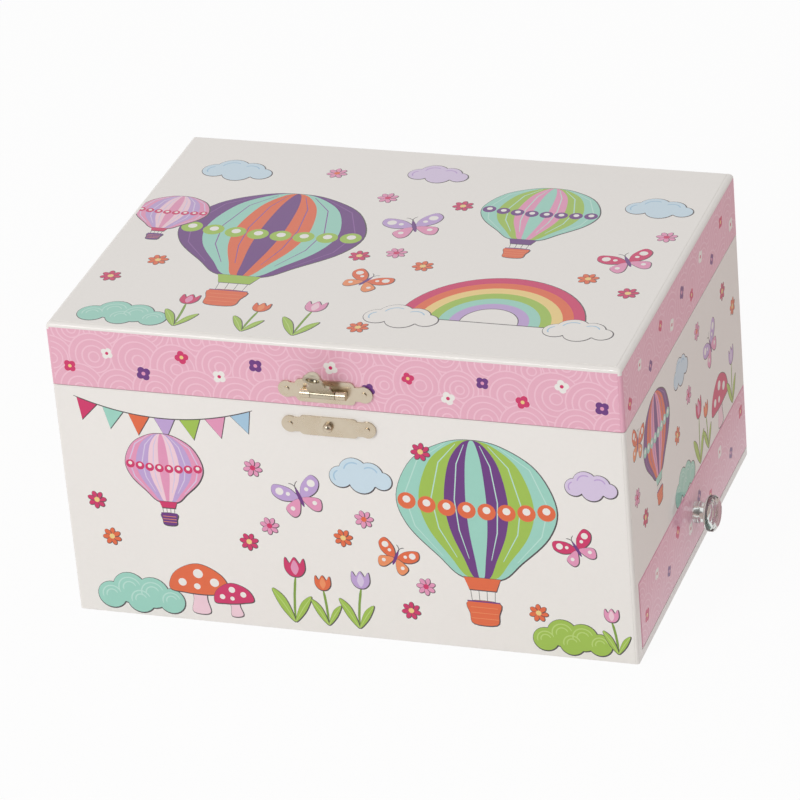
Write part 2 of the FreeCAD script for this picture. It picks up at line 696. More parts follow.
def clasp_flap():
    """Modelled hanging over the stud, then swung up as it stands when the box is undone."""
    front = CLASP_AXIS_Y - FLAP_THICK / 2
    outline = flap_outline(front)
    tube = rod(
        CLASP_BARREL_RADIUS,
        (CLASP_OFFSET - FLAP_BASE_WIDTH / 2, CLASP_AXIS_Y, CLASP_AXIS_Z),
        X_AXIS,
        FLAP_BASE_WIDTH,
    )
    inside = STUD_RADIUS + DIMPLE_GAP
    hollow_centre = V(CLASP_OFFSET, front + FLAP_THICK, KEEPER_Z)
    dome = Part.makeSphere(inside + FLAP_THICK, hollow_centre)
    behind = box(
        (CLASP_OFFSET - CLASP_LENGTH, front + FLAP_THICK, KEEPER_Z - CLASP_LENGTH),
        (CLASP_OFFSET + CLASP_LENGTH, front + CLASP_LENGTH, KEEPER_Z + CLASP_LENGTH),
    )
    bore = rod(
        CLASP_PIN_RADIUS + PIVOT_GAP,
        (CLASP_OFFSET - CLASP_LENGTH, CLASP_AXIS_Y, CLASP_AXIS_Z),
        X_AXIS,
        2 * CLASP_LENGTH,
    )
    flap = fused([outline, tube, dome.cut(behind)])
    flap = flap.cut(Part.makeSphere(inside, hollow_centre)).cut(bore)
    flap.rotate(V(CLASP_OFFSET, CLASP_AXIS_Y, CLASP_AXIS_Z), X_AXIS, -FLAP_OPEN_ANGLE)
    return flap


def keeper_stud():
    """A turned stud riveted through the keeper: a neck and a full round head."""
    foot = V(CLASP_OFFSET, CLASP_FACE, KEEPER_Z)
    root = foot + Y_AXIS * LEAF_THICK * 2
    neck = rod(STUD_RADIUS * 0.7, root, -Y_AXIS, LEAF_THICK * 2 + STUD_HEIGHT / 2)
    head = Part.makeSphere(STUD_RADIUS, foot - Y_AXIS * (STUD_HEIGHT - STUD_RADIUS))
    behind = rod(STUD_RADIUS * 2, foot, Y_AXIS, STUD_RADIUS * 2)
    return neck.fuse(head.cut(behind)).removeSplitter()


def keeper_plate():
    return scalloped_plate(KEEPER_HEIGHT, KEEPER_Z).cut(keeper_nails).cut(keeper_stud())


# Drawer
DRAWER_REAR = BAY_RIGHT + BAY_WALL + DRAWER_GAP
DRAWER_NEAR = IN_FRONT + DRAWER_GAP
DRAWER_FAR = IN_BACK - DRAWER_GAP
DRAWER_BOTTOM_TOP = DRAWER_LOW + DRAWER_BOTTOM_THICK
DRAWER_SIDE_TOP = DRAWER_BOTTOM_TOP + DRAWER_SIDE_HEIGHT
KNOB_Y = (DRAWER_NEAR + HALF_DEPTH) / 2
KNOB_Z = DRAWER_LOW + DRAWER_FRONT_HEIGHT / 2


def knob_screw():
    head_radius = KNOB_SCREW_RADIUS * 1.9
    head_height = KNOB_SCREW_RADIUS * 1.2
    inside = V(IN_RIGHT, KNOB_Y, KNOB_Z)
    head = rod(head_radius, inside, -X_AXIS, head_height)
    slot = box(
        (IN_RIGHT - head_height, KNOB_Y - head_radius, KNOB_Z - LEAF_THICK / 2),
        (IN_RIGHT - head_height / 2, KNOB_Y + head_radius, KNOB_Z + LEAF_THICK / 2),
    )
    shank = rod(KNOB_SCREW_RADIUS, inside, X_AXIS, WALL + KNOB_SCREW_DEPTH)
    return head.cut(slot).fuse(shank)


def drawer_front():
    """Covers the whole drawer bay and runs on past the back panel's end."""
    panel = box((IN_RIGHT, DRAWER_NEAR, DRAWER_LOW), (HALF_WIDTH, HALF_DEPTH, DRAWER_TOP))
    panel = panel.makeFillet(CORNER_ROUND, upright_edges(panel, [(HALF_WIDTH, HALF_DEPTH)]))
    return panel.cut(knob_screw())


def drawer_bottom():
    return box((DRAWER_REAR, DRAWER_NEAR, DRAWER_LOW), (IN_RIGHT, DRAWER_FAR, DRAWER_BOTTOM_TOP))


def drawer_side(near):
    return box(
        (DRAWER_REAR, near, DRAWER_BOTTOM_TOP),
        (IN_RIGHT, near + DRAWER_SIDE_THICK, DRAWER_SIDE_TOP),
    )


def drawer_rear():
    return box(
        (DRAWER_REAR, DRAWER_NEAR + DRAWER_SIDE_THICK, DRAWER_BOTTOM_TOP),
        (DRAWER_REAR + DRAWER_SIDE_THICK, DRAWER_FAR - DRAWER_SIDE_THICK, DRAWER_SIDE_TOP),
    )


def drawer_lining():
    """A flocked card on the drawer's floor."""
    return box(
        (DRAWER_REAR + DRAWER_SIDE_THICK, DRAWER_NEAR + DRAWER_SIDE_THICK, DRAWER_BOTTOM_TOP),
        (IN_RIGHT, DRAWER_FAR - DRAWER_SIDE_THICK, DRAWER_BOTTOM_TOP + LINING_THICK),
    )


def knob_facets(rim):
    """A many-sided cone frustum that trims the front of the knob's head into facets."""
    length = KNOB_BASE_LENGTH + KNOB_NECK_LENGTH + KNOB_HEAD_LENGTH
    widest = KNOB_HEAD_RADIUS / math.cos(math.pi / KNOB_FACETS)
    rings = []
    for radius, z in ((widest, 0), (widest, rim), (KNOB_TABLE_RADIUS, length)):
        corners = []
        for i in range(KNOB_FACETS + 1):
            angle = 2 * math.pi * i / KNOB_FACETS
            corners.append(V(radius * math.cos(angle), radius * math.sin(angle), z))
        rings.append(Part.makePolygon(corners))
    return Part.makeLoft(rings, True, True)


def drawer_knob():
    """Clear moulded knob: a thin foot, a straight neck and a round-backed head cut in facets."""
    neck_end = KNOB_BASE_LENGTH + KNOB_NECK_LENGTH
    length = neck_end + KNOB_HEAD_LENGTH
    back = (KNOB_HEAD_LENGTH - KNOB_EDGE_LENGTH) / 2
    widest = neck_end + back
    rim = widest + KNOB_EDGE_LENGTH
    swell = KNOB_HEAD_RADIUS - KNOB_NECK_RADIUS
    outline = [
        (0, 0),
        (KNOB_BASE_RADIUS, 0),
        (KNOB_BASE_RADIUS, KNOB_BASE_LENGTH),
        (KNOB_NECK_RADIUS, KNOB_BASE_LENGTH),
        (KNOB_NECK_RADIUS, neck_end),
    ]
    lines = [
        Part.makeLine(V(a[0], 0, a[1]), V(b[0], 0, b[1])) for a, b in zip(outline, outline[1:])
    ]
    rounding = math.sqrt(0.5)
    lines.append(
        Part.Arc(
            V(KNOB_NECK_RADIUS, 0, neck_end),
            V(KNOB_NECK_RADIUS + swell * rounding, 0, neck_end + back * (1 - rounding)),
            V(KNOB_HEAD_RADIUS, 0, widest),
        ).toShape()
    )
    lines.append(Part.makeLine(V(KNOB_HEAD_RADIUS, 0, widest), V(KNOB_HEAD_RADIUS, 0, length)))
    lines.append(Part.makeLine(V(KNOB_HEAD_RADIUS, 0, length), V(0, 0, length)))
    lines.append(Part.makeLine(V(0, 0, length), V(0, 0, 0)))
    body = Part.Face(Part.Wire(lines)).revolve(V(0, 0, 0), Z_AXIS, 360)
    body = body.common(knob_facets(rim))
    body = body.cut(rod(KNOB_SCREW_RADIUS, (0, 0, 0), Z_AXIS, KNOB_SCREW_DEPTH))
    body.rotate(V(0, 0, 0), Y_AXIS, 90)
    body.translate(V(HALF_WIDTH, KNOB_Y, KNOB_Z))
    return body


# Toothed wheels
def involute(angle):
    return math.tan(angle) - angle


def tooth_half_angle(radius, teeth, module):
    """Half the angle that an involute tooth takes up at a radius."""
    base = teeth * module / 2 * math.cos(PRESSURE_ANGLE)
    pressure = math.acos(min(1.0, base / max(radius, base)))
    return TOOTH_SHARE * math.pi / (2 * teeth) + involute(PRESSURE_ANGLE) - involute(pressure)


def gear_outline(teeth, module, phase, height=0.0):
    """A toothed outline about +Z: each flank is drawn from root to pitch line to tip."""
    pitch = teeth * module / 2
    radii = [pitch - DEDENDUM * module, pitch, pitch + ADDENDUM * module]
    corners = []
    for tooth in range(teeth):
        middle = phase + 2 * math.pi * tooth / teeth
        flank = [(r, tooth_half_angle(r, teeth, module)) for r in radii]
        for r, half in flank:
            corners.append(V(r * math.cos(middle - half), r * math.sin(middle - half), height))
        for r, half in reversed(flank):
            corners.append(V(r * math.cos(middle + half), r * math.sin(middle + half), height))
    return Part.makePolygon(corners + corners[:1])


def spur_gear(teeth, module, width, phase):
    return Part.Face(gear_outline(teeth, module, phase)).extrude(Z_AXIS * width)


def facing_phase(teeth, towards):
    """Turns a wheel so that a gap between teeth points in a direction."""
    return towards + math.pi / teeth


def spring_barrel():
    """Drawn drum with its lid, the great wheel on its front and the dancer's crown of teeth."""
    drum = rod(BARREL_RADIUS, (BARREL_X, BARREL_FRONT, AXIS_Z), Y_AXIS, BARREL_LENGTH)
    hollow = rod(
        BARREL_RADIUS - BARREL_WALL,
        (BARREL_X, BARREL_FRONT + BARREL_WALL, AXIS_Z),
        Y_AXIS,
        BARREL_LENGTH - 2 * BARREL_WALL,
    )
    wheel = turned_to_y(
        spur_gear(GREAT_WHEEL_TEETH, TRAIN_MODULE, GEAR_WIDTH, 0), BARREL_X, GREAT_FRONT, AXIS_Z
    )
    bore = rod(
        ARBOR_RADIUS + RUNNING_GAP, (BARREL_X, BED_FRONT, AXIS_Z), Y_AXIS, BED_DEPTH
    )
    return drum.fuse(wheel).removeSplitter().cut(hollow).fuse(crown_teeth()).cut(bore)


def crown_teeth():
    """A ring of short teeth standing off the great wheel, each a tapered rack tooth."""
    pitch = math.pi * CROWN_MODULE
    half = TOOTH_SHARE * pitch / 4
    rise = ADDENDUM * CROWN_MODULE
    root = DEDENDUM * CROWN_MODULE
    lean = math.tan(PRESSURE_ANGLE)
    low = AXIS_Z + CROWN_RADIUS - CROWN_WIDTH / 2
    outline = [
        V(BARREL_X - half - lean * root, GREAT_FRONT, low),
        V(BARREL_X - half + lean * rise, CROWN_PITCH_Y - rise, low),
        V(BARREL_X + half - lean * rise, CROWN_PITCH_Y - rise, low),
        V(BARREL_X + half + lean * root, GREAT_FRONT, low),
    ]
    tooth = Part.Face(Part.makePolygon(outline + outline[:1])).extrude(Z_AXIS * CROWN_WIDTH)
    teeth = []
    for i in range(CROWN_TEETH):
        copy = tooth.copy()
        copy.rotate(V(BARREL_X, 0, AXIS_Z), Y_AXIS, 360.0 * i / CROWN_TEETH)
        teeth.append(copy)
    return Part.makeCompound(teeth)


def mainspring():
    """The spiral strip inside the barrel, hooked from the arbor out to the drum."""
    inner = ARBOR_RADIUS + MAINSPRING_THICK
    outer = BARREL_RADIUS - BARREL_WALL - MAINSPRING_THICK
    step = (outer - inner - MAINSPRING_THICK) / MAINSPRING_TURNS

    def half_turns(offset):
        edges = []
        for i in range(2 * MAINSPRING_TURNS):
            side = 1 if i % 2 == 0 else -1
            start = side * (inner + offset + step * i / 2)
            end = -side * (inner + offset + step * (i + 1) / 2)
            middle = V((start + end) / 2, side * abs(start - end) / 2, 0)
            edges.append(Part.Arc(V(start, 0, 0), middle, V(end, 0, 0)).toShape())
        return edges

    inside = half_turns(0)
    outside = half_turns(MAINSPRING_THICK)
    first = Part.makeLine(inside[0].Vertexes[0].Point, outside[0].Vertexes[0].Point)
    hook = inner + step * MAINSPRING_TURNS
    last = Part.makeLine(V(hook, 0, 0), V(hook + MAINSPRING_THICK, 0, 0))
    strip = Part.Face(Part.Wire(Part.__sortEdges__(inside + outside + [first, last])))
    width = BARREL_LENGTH - 2 * BARREL_WALL - 2 * LEAF_CLEARANCE
    solid = strip.extrude(Z_AXIS * width)
    return turned_to_y(solid, BARREL_X, BARREL_FRONT + BARREL_WALL + LEAF_CLEARANCE, AXIS_Z)


KEY_FACE = HALF_DEPTH + KEY_STANDOFF


def winding_arbor():
    end = KEY_FACE + KEY_HUB_LENGTH * 0.8
    return rod(ARBOR_RADIUS, (BARREL_X, ARBOR_POST_FRONT, AXIS_Z), Y_AXIS, end - ARBOR_POST_FRONT)


def winding_key():
    """A stamped butterfly key on a turned hub, screwed on to the arbor."""
    hub = rod(KEY_HUB_RADIUS, (BARREL_X, KEY_FACE, AXIS_Z), Y_AXIS, KEY_HUB_LENGTH)
    wing_start = KEY_FACE + KEY_HUB_LENGTH * 0.55
    wing_middle = wing_start + KEY_WING_LENGTH / 2
    low = AXIS_Z - KEY_WING_THICK / 2
    solids = [hub]
    for side in (-1, 1):
        at = (BARREL_X + side * KEY_WING_SPREAD, wing_middle, low)
        solids.append(rod(KEY_WING_RADIUS, at, Z_AXIS, KEY_WING_THICK))
    solids.append(
        box(
            (BARREL_X - KEY_WING_SPREAD, wing_middle - KEY_WING_RADIUS * 0.6, low),
            (BARREL_X + KEY_WING_SPREAD, wing_middle + KEY_WING_RADIUS * 0.6, low + KEY_WING_THICK),
        )
    )
    holes = [
        rod(
            KEY_WING_RADIUS * 0.4,
            (BARREL_X + side * KEY_WING_SPREAD, wing_middle, low - KEY_WING_THICK),
            Z_AXIS,
            3 * KEY_WING_THICK,
        )
        for side in (-1, 1)
    ]
    return fused(solids).cut(Part.makeCompound(holes)).cut(winding_arbor())


# Pinned cylinder
def pinned_cylinder():
    drum = rod(CYLINDER_RADIUS, (CYLINDER_X, CYLINDER_FRONT, AXIS_Z), Y_AXIS, CYLINDER_LENGTH)
    golden = math.pi * (3 - math.sqrt(5))
    pitch = CYLINDER_LENGTH / (NOTES + 1)
    pins = []
    for note in range(NOTES):
        y = CYLINDER_FRONT + pitch * (note + 1)
        for i in range(PINS_PER_NOTE):
            pin = box(
                (CYLINDER_X + CYLINDER_RADIUS - PIN_HEIGHT, y - PIN_WIDTH / 2, AXIS_Z - PIN_WIDTH / 2),
                (CYLINDER_X + CYLINDER_RADIUS + PIN_HEIGHT, y + PIN_WIDTH / 2, AXIS_Z + PIN_WIDTH / 2),
            )
            turn = math.degrees(golden * (note * PINS_PER_NOTE + i))
            pin.rotate(V(CYLINDER_X, y, AXIS_Z), Y_AXIS, turn)
            pins.append(pin)
    solid = drum.multiFuse(pins)
    return solid.cut(cylinder_arbor())


def cylinder_arbor():
    end = GREAT_FRONT + GEAR_WIDTH + LEAF_CLEARANCE + POST_THICK
    return rod(
        CYLINDER_ARBOR_RADIUS, (CYLINDER_X, FRONT_POST_BACK - POST_THICK, AXIS_Z), Y_AXIS,
        end - FRONT_POST_BACK + POST_THICK,
    )


def cylinder_pinion():
    phase = facing_phase(CYLINDER_PINION_TEETH, math.pi)
    gear = spur_gear(CYLINDER_PINION_TEETH, TRAIN_MODULE, GEAR_WIDTH, phase)
    return turned_to_y(gear, CYLINDER_X, GREAT_FRONT, AXIS_Z).cut(cylinder_arbor())


def cylinder_gear():
    gear = spur_gear(CYLINDER_GEAR_TEETH, GOVERNOR_MODULE, GOVERNOR_GEAR_WIDTH, 0)
    return turned_to_y(gear, CYLINDER_X, GOVERNOR_FRONT, AXIS_Z).cut(cylinder_arbor())


# Comb
COMB_TIP = CYLINDER_X - CYLINDER_RADIUS - PIN_HEIGHT - COMB_TIP_GAP
COMB_ROOT = COMB_TIP - COMB_TOOTH_LENGTH
COMB_END = COMB_ROOT - COMB_BASE_LENGTH
COMB_LOW = AXIS_Z


def comb_screw_points():
    x = (COMB_ROOT + COMB_END) / 2
    return [
        (x, CYLINDER_FRONT + CYLINDER_LENGTH * share) for share in (0.22, 0.78)
    ]


def comb_screw(x, y):
    top = COMB_LOW + COMB_THICK
    head = rod(COMB_SCREW_HEAD_RADIUS, (x, y, top), Z_AXIS, COMB_SCREW_HEAD_HEIGHT)
    slot = box(
        (x - COMB_SCREW_HEAD_RADIUS, y - COMB_SLOT, top + COMB_SCREW_HEAD_HEIGHT / 2),
        (x + COMB_SCREW_HEAD_RADIUS, y + COMB_SLOT, top + COMB_SCREW_HEAD_HEIGHT),
    )
    shank = rod(COMB_SCREW_RADIUS, (x, y, top), -Z_AXIS, COMB_THICK + COMB_BASE_LENGTH)
    return head.cut(slot).fuse(shank)


comb_screws = Part.makeCompound([comb_screw(x, y) for x, y in comb_screw_points()])


def steel_comb():
    plate = box(
        (COMB_END, CYLINDER_FRONT, COMB_LOW),
        (COMB_TIP, CYLINDER_FRONT + CYLINDER_LENGTH, COMB_LOW + COMB_THICK),
    )
    pitch = CYLINDER_LENGTH / (NOTES + 1)
    slots = []
    for i in range(NOTES + 1):
        y = CYLINDER_FRONT + pitch * (i + 0.5)
        slots.append(
            box(
                (COMB_ROOT, y - COMB_SLOT / 2, COMB_LOW - COMB_THICK),
                (COMB_TIP + COMB_SLOT, y + COMB_SLOT / 2, COMB_LOW + 2 * COMB_THICK),
            )
        )
    return plate.cut(Part.makeCompound(slots)).cut(comb_screws)


# Movement bed: one casting with its posts and the comb's seat
def post(x, back, width):
    """An upright bearing post, round-headed over the shaft that it carries."""
    front = back - POST_THICK
    foot = box((x - width / 2, front, BASE_THICK), (x + width / 2, back, AXIS_Z))
    return foot.fuse(rod(width / 2, (x, front, AXIS_Z), Y_AXIS, POST_THICK)).removeSplitter()


def movement_bed():
    plate = box((BED_LEFT, BED_FRONT, BASE_THICK), (BED_RIGHT, BED_BACK, BED_TOP))
    cylinder_back = GREAT_FRONT + GEAR_WIDTH + LEAF_CLEARANCE + POST_THICK
    solids = [
        plate,
        post(BARREL_X, BED_BACK, POST_WIDTH),
        post(BARREL_X, ARBOR_POST_BACK, POST_WIDTH),
        post(CYLINDER_X, cylinder_back, POST_WIDTH),
        post(CYLINDER_X, FRONT_POST_BACK, POST_WIDTH),
        post(GOVERNOR_X, FRONT_POST_BACK, SLIM_POST_WIDTH),
        post(GOVERNOR_X, GOVERNOR_BACK + LEAF_CLEARANCE + POST_THICK, SLIM_POST_WIDTH),
        box(
            (COMB_END, CYLINDER_FRONT, BASE_THICK),
            (COMB_ROOT, CYLINDER_FRONT + CYLINDER_LENGTH, COMB_LOW),
        ),
        box(
            (WORM_X - POST_WIDTH / 2, FRONT_POST_BACK - POST_THICK, BASE_THICK),
            (WORM_X + POST_WIDTH / 2, WORM_Y + POST_WIDTH / 2, worm_low() - LEAF_CLEARANCE),
        ),
        box(
            (BARREL_X - POST_WIDTH / 2, ARBOR_POST_BACK - POST_THICK, BED_TOP),
            (BARREL_X + POST_WIDTH / 2, ARBOR_POST_BACK, spindle_low()),
        ),
    ]
    solids.append(
        box(
            (BARREL_X - POST_WIDTH / 2, ARBOR_POST_BACK - POST_THICK, spindle_low() - POST_THICK),
            (BARREL_X + POST_WIDTH / 2, DANCER_Y + POST_WIDTH / 3, spindle_low()),
        )
    )
    bed = fused(solids)
    shafts = [
        rod(ARBOR_RADIUS + RUNNING_GAP, (BARREL_X, BED_FRONT, AXIS_Z), Y_AXIS, BED_DEPTH),
        rod(CYLINDER_ARBOR_RADIUS + RUNNING_GAP, (CYLINDER_X, BED_FRONT, AXIS_Z), Y_AXIS, BED_DEPTH),
        rod(FAN_ARBOR_RADIUS + RUNNING_GAP, (GOVERNOR_X, BED_FRONT, AXIS_Z), Y_AXIS, BED_DEPTH),
        rod(FAN_ARBOR_RADIUS + RUNNING_GAP, (WORM_X, WORM_Y, BED_TOP), Z_AXIS, BED_DEPTH),
        rod(
            SPINDLE_RADIUS + RUNNING_GAP,
            (BARREL_X, DANCER_Y, spindle_low() - POST_THICK),
            Z_AXIS,
            BED_DEPTH,
        ),
    ]
    return bed.cut(Part.makeCompound(shafts)).cut(comb_screws).cut(movement_screws)


# Governor
def governor_wheel():
    """Pinion and worm wheel on one small arbor."""
    pinion_phase = facing_phase(GOVERNOR_PINION_TEETH, math.pi)
    pinion = turned_to_y(
        spur_gear(GOVERNOR_PINION_TEETH, GOVERNOR_MODULE, GOVERNOR_GEAR_WIDTH, pinion_phase),
        GOVERNOR_X, GOVERNOR_FRONT, AXIS_Z,
    )
    lead_angle = math.atan(WORM_STARTS * GOVERNOR_MODULE / (2 * WORM_RADIUS))
    twist = WORM_WHEEL_WIDTH * math.tan(lead_angle) / WORM_WHEEL_RADIUS
    outlines = [
        gear_outline(WORM_WHEEL_TEETH, GOVERNOR_MODULE, -twist / 2, 0),
        gear_outline(WORM_WHEEL_TEETH, GOVERNOR_MODULE, twist / 2, WORM_WHEEL_WIDTH),
    ]
    wheel = turned_to_y(
        Part.makeLoft(outlines, True, True), GOVERNOR_X, WORM_Y - WORM_WHEEL_WIDTH / 2, AXIS_Z
    )
    start = FRONT_POST_BACK - POST_THICK
    end = GOVERNOR_BACK + LEAF_CLEARANCE + POST_THICK
    arbor = rod(FAN_ARBOR_RADIUS, (GOVERNOR_X, start, AXIS_Z), Y_AXIS, end - start)
    return pinion.multiFuse([wheel, arbor])


def worm_low():
    return AXIS_Z - WORM_LENGTH / 2


def worm_thread(phase):
    """One start of the steep endless screw, swept along a helix."""
    lead = WORM_STARTS * math.pi * GOVERNOR_MODULE
    helix = Part.makeHelix(lead, WORM_LENGTH, WORM_RADIUS)
    root = WORM_RADIUS - GOVERNOR_MODULE * 1.1
    tip = WORM_RADIUS + GOVERNOR_MODULE * 0.7
    half = GOVERNOR_MODULE * math.pi * 0.13
    corners = [V(root, 0, -half * 1.4), V(tip, 0, -half * 0.7), V(tip, 0, half * 0.7), V(root, 0, half * 1.4)]
    profile = Part.makePolygon(corners + corners[:1])
    thread = Part.Wire(helix.Edges).makePipeShell([profile], True, True)
    pitch = lead / WORM_STARTS
    gap_to_wheel = 360.0 * (lead - WORM_LENGTH - pitch) / (2 * lead)
    thread.rotate(V(0, 0, 0), Z_AXIS, gap_to_wheel + phase)
    return thread


def fan_worm():
    """Endless screw on an upright arbor that carries the two-bladed fan."""
    core = Part.makeCylinder(WORM_RADIUS - GOVERNOR_MODULE, WORM_LENGTH)
    threads = [worm_thread(360.0 * i / WORM_STARTS) for i in range(WORM_STARTS)]
    ends = box((-WORM_LENGTH, -WORM_LENGTH, 0), (WORM_LENGTH, WORM_LENGTH, WORM_LENGTH))
    screw = core.multiFuse(threads).common(ends)
    screw.translate(V(WORM_X, WORM_Y, worm_low()))
    arbor_low = BED_TOP + LEAF_CLEARANCE
    arbor = rod(FAN_ARBOR_RADIUS, (WORM_X, WORM_Y, arbor_low), Z_AXIS, FAN_TOP - arbor_low)
    blades = box(
        (WORM_X - FAN_RADIUS, WORM_Y - FAN_THICK / 2, FAN_LOW),
        (WORM_X + FAN_RADIUS, WORM_Y + FAN_THICK / 2, FAN_TOP),
    )
    return screw.multiFuse([arbor, blades])


# Stop rod: pressed by the lid, it holds the fan until the box is opened
def stop_rod():
    top = RAIL_TOP - LINING_THICK - STOP_GAP
    foot = FAN_TOP + STOP_GAP
    arm = foot + STOP_ROD_BEND
    bend = STOP_ROD_BEND
    quarter = bend * (1 - math.sqrt(0.5))
    edges = [
        Part.makeLine(V(WORM_X, STOP_ROD_Y, top), V(WORM_X, STOP_ROD_Y, arm + bend)),
        Part.Arc(
            V(WORM_X, STOP_ROD_Y, arm + bend),
            V(WORM_X, STOP_ROD_Y - quarter, arm + quarter),
            V(WORM_X, STOP_ROD_Y - bend, arm),
        ).toShape(),
        Part.makeLine(V(WORM_X, STOP_ROD_Y - bend, arm), V(WORM_X, WORM_Y + bend, arm)),
        Part.Arc(
            V(WORM_X, WORM_Y + bend, arm),
            V(WORM_X, WORM_Y + quarter, arm - quarter),
            V(WORM_X, WORM_Y, foot),
        ).toShape(),
    ]
    section = Part.Wire(Part.makeCircle(STOP_ROD_RADIUS, V(WORM_X, STOP_ROD_Y, top), Z_AXIS))
    return Part.Wire(edges).makePipeShell([section], True, False)


def stop_rod_guide():
    """A pressed eye on the back panel that keeps the rod upright."""
    z = CASE_HEIGHT - HINGE_LEAF_HEIGHT - 2 * GUIDE_HEIGHT
    reach = STOP_ROD_RADIUS * 2.5
    eye = rod(reach, (WORM_X, STOP_ROD_Y, z), Z_AXIS, GUIDE_HEIGHT)
    arm = box(
        (WORM_X - STOP_ROD_RADIUS * 1.5, STOP_ROD_Y, z),
        (WORM_X + STOP_ROD_RADIUS * 1.5, IN_BACK + WALL / 2, z + GUIDE_HEIGHT),
    )
    hole = rod(STOP_ROD_RADIUS + RUNNING_GAP, (WORM_X, STOP_ROD_Y, z), Z_AXIS, GUIDE_HEIGHT)
    return eye.fuse(arm).removeSplitter().cut(hole)


# Movement cover and the dancer's bush
def movement_cover():
    """Cloth-covered card stage over the movement, open below."""
    shell = cover_block(0)
    inside = box(
        (IN_LEFT + COVER_THICK, COVER_FRONT + COVER_THICK, FLOOR_TOP),
        (BAY_RIGHT - COVER_THICK, IN_BACK - COVER_THICK, COVER_TOP - COVER_THICK),
    )
    rod_hole = rod(3 * STOP_ROD_RADIUS, (WORM_X, STOP_ROD_Y, FLOOR_TOP), Z_AXIS, CASE_HEIGHT)
    return shell.cut(inside).cut(rod_hole).cut(bush_seat())


def bush_seat():
    return rod(BUSH_RADIUS - BUSH_FLANGE, (BARREL_X, DANCER_Y, FLOOR_TOP), Z_AXIS, CASE_HEIGHT)


def spindle_bush():
    """Flanged bush in the cover that steadies the dancer's spindle."""
    body_radius = BUSH_RADIUS - BUSH_FLANGE
    low = COVER_TOP - COVER_THICK - BUSH_FLANGE
    body = rod(body_radius, (BARREL_X, DANCER_Y, low), Z_AXIS, COVER_THICK + BUSH_FLANGE)
    flange = rod(BUSH_RADIUS, (BARREL_X, DANCER_Y, COVER_TOP), Z_AXIS, BUSH_FLANGE)
    bore = rod(SPINDLE_RADIUS + RUNNING_GAP, (BARREL_X, DANCER_Y, FLOOR_TOP), Z_AXIS, CASE_HEIGHT)
    return body.fuse(flange).removeSplitter().cut(bore)


# Dancer
CUP_LOW = COVER_TOP + BUSH_FLANGE + LEAF_CLEARANCE
CUP_TOP = CUP_LOW + CUP_HEIGHT
SPRING_LENGTH = SPRING_TURNS * SPRING_PITCH + 4 * SPRING_COIL_RADIUS * 0.5 + 4 * SPRING_WIRE_RADIUS
FOOT_LOW = CUP_TOP + SPRING_LENGTH


def spindle_low():
    return DANCER_PINION_Z - GEAR_WIDTH / 2 - LEAF_CLEARANCE


def dancer_spindle():
    """Upright spindle with its pinion, carrying the spring's cup above the stage."""
    phase = facing_phase(DANCER_PINION_TEETH, math.pi / 2)
    pinion = spur_gear(DANCER_PINION_TEETH, CROWN_MODULE, GEAR_WIDTH, phase)
    pinion.translate(V(BARREL_X, DANCER_Y, DANCER_PINION_Z - GEAR_WIDTH / 2))
    foot = spindle_low() - POST_THICK
    shaft = rod(SPINDLE_RADIUS, (BARREL_X, DANCER_Y, foot), Z_AXIS, CUP_LOW - foot)
    cup = rod(CUP_RADIUS, (BARREL_X, DANCER_Y, CUP_LOW), Z_AXIS, CUP_HEIGHT)
    return pinion.multiFuse([shaft, cup])


def arc_from(start, tangent, end):
    """The circular arc that leaves a point along a tangent and ends at another point."""
    chord = end - start
    along = chord * (1 / chord.Length)
    side = tangent - along * tangent.dot(along)
    half = math.acos(max(-1.0, min(1.0, tangent.dot(along) / tangent.Length)))
    bulge = side * (1 / side.Length) * (chord.Length / 2 * math.tan(half / 2))
    return Part.Arc(start, start + chord * 0.5 + bulge, end).toShape()


def biarc(start, start_tangent, end, end_tangent):
    """Two arcs that join two points and meet smoothly, in the given directions."""
    chord = end - start
    spread = start_tangent + end_tangent
    a = 2 * (1 - start_tangent.dot(end_tangent))
    b = 2 * chord.dot(spread)
    c = -chord.dot(chord)
    reach = (-b + math.sqrt(b * b - 4 * a * c)) / (2 * a)
    joint = (start + end + (start_tangent - end_tangent) * reach) * 0.5
    last = arc_from(end, end_tangent * -1, joint)
    return [arc_from(start, start_tangent, joint), last]


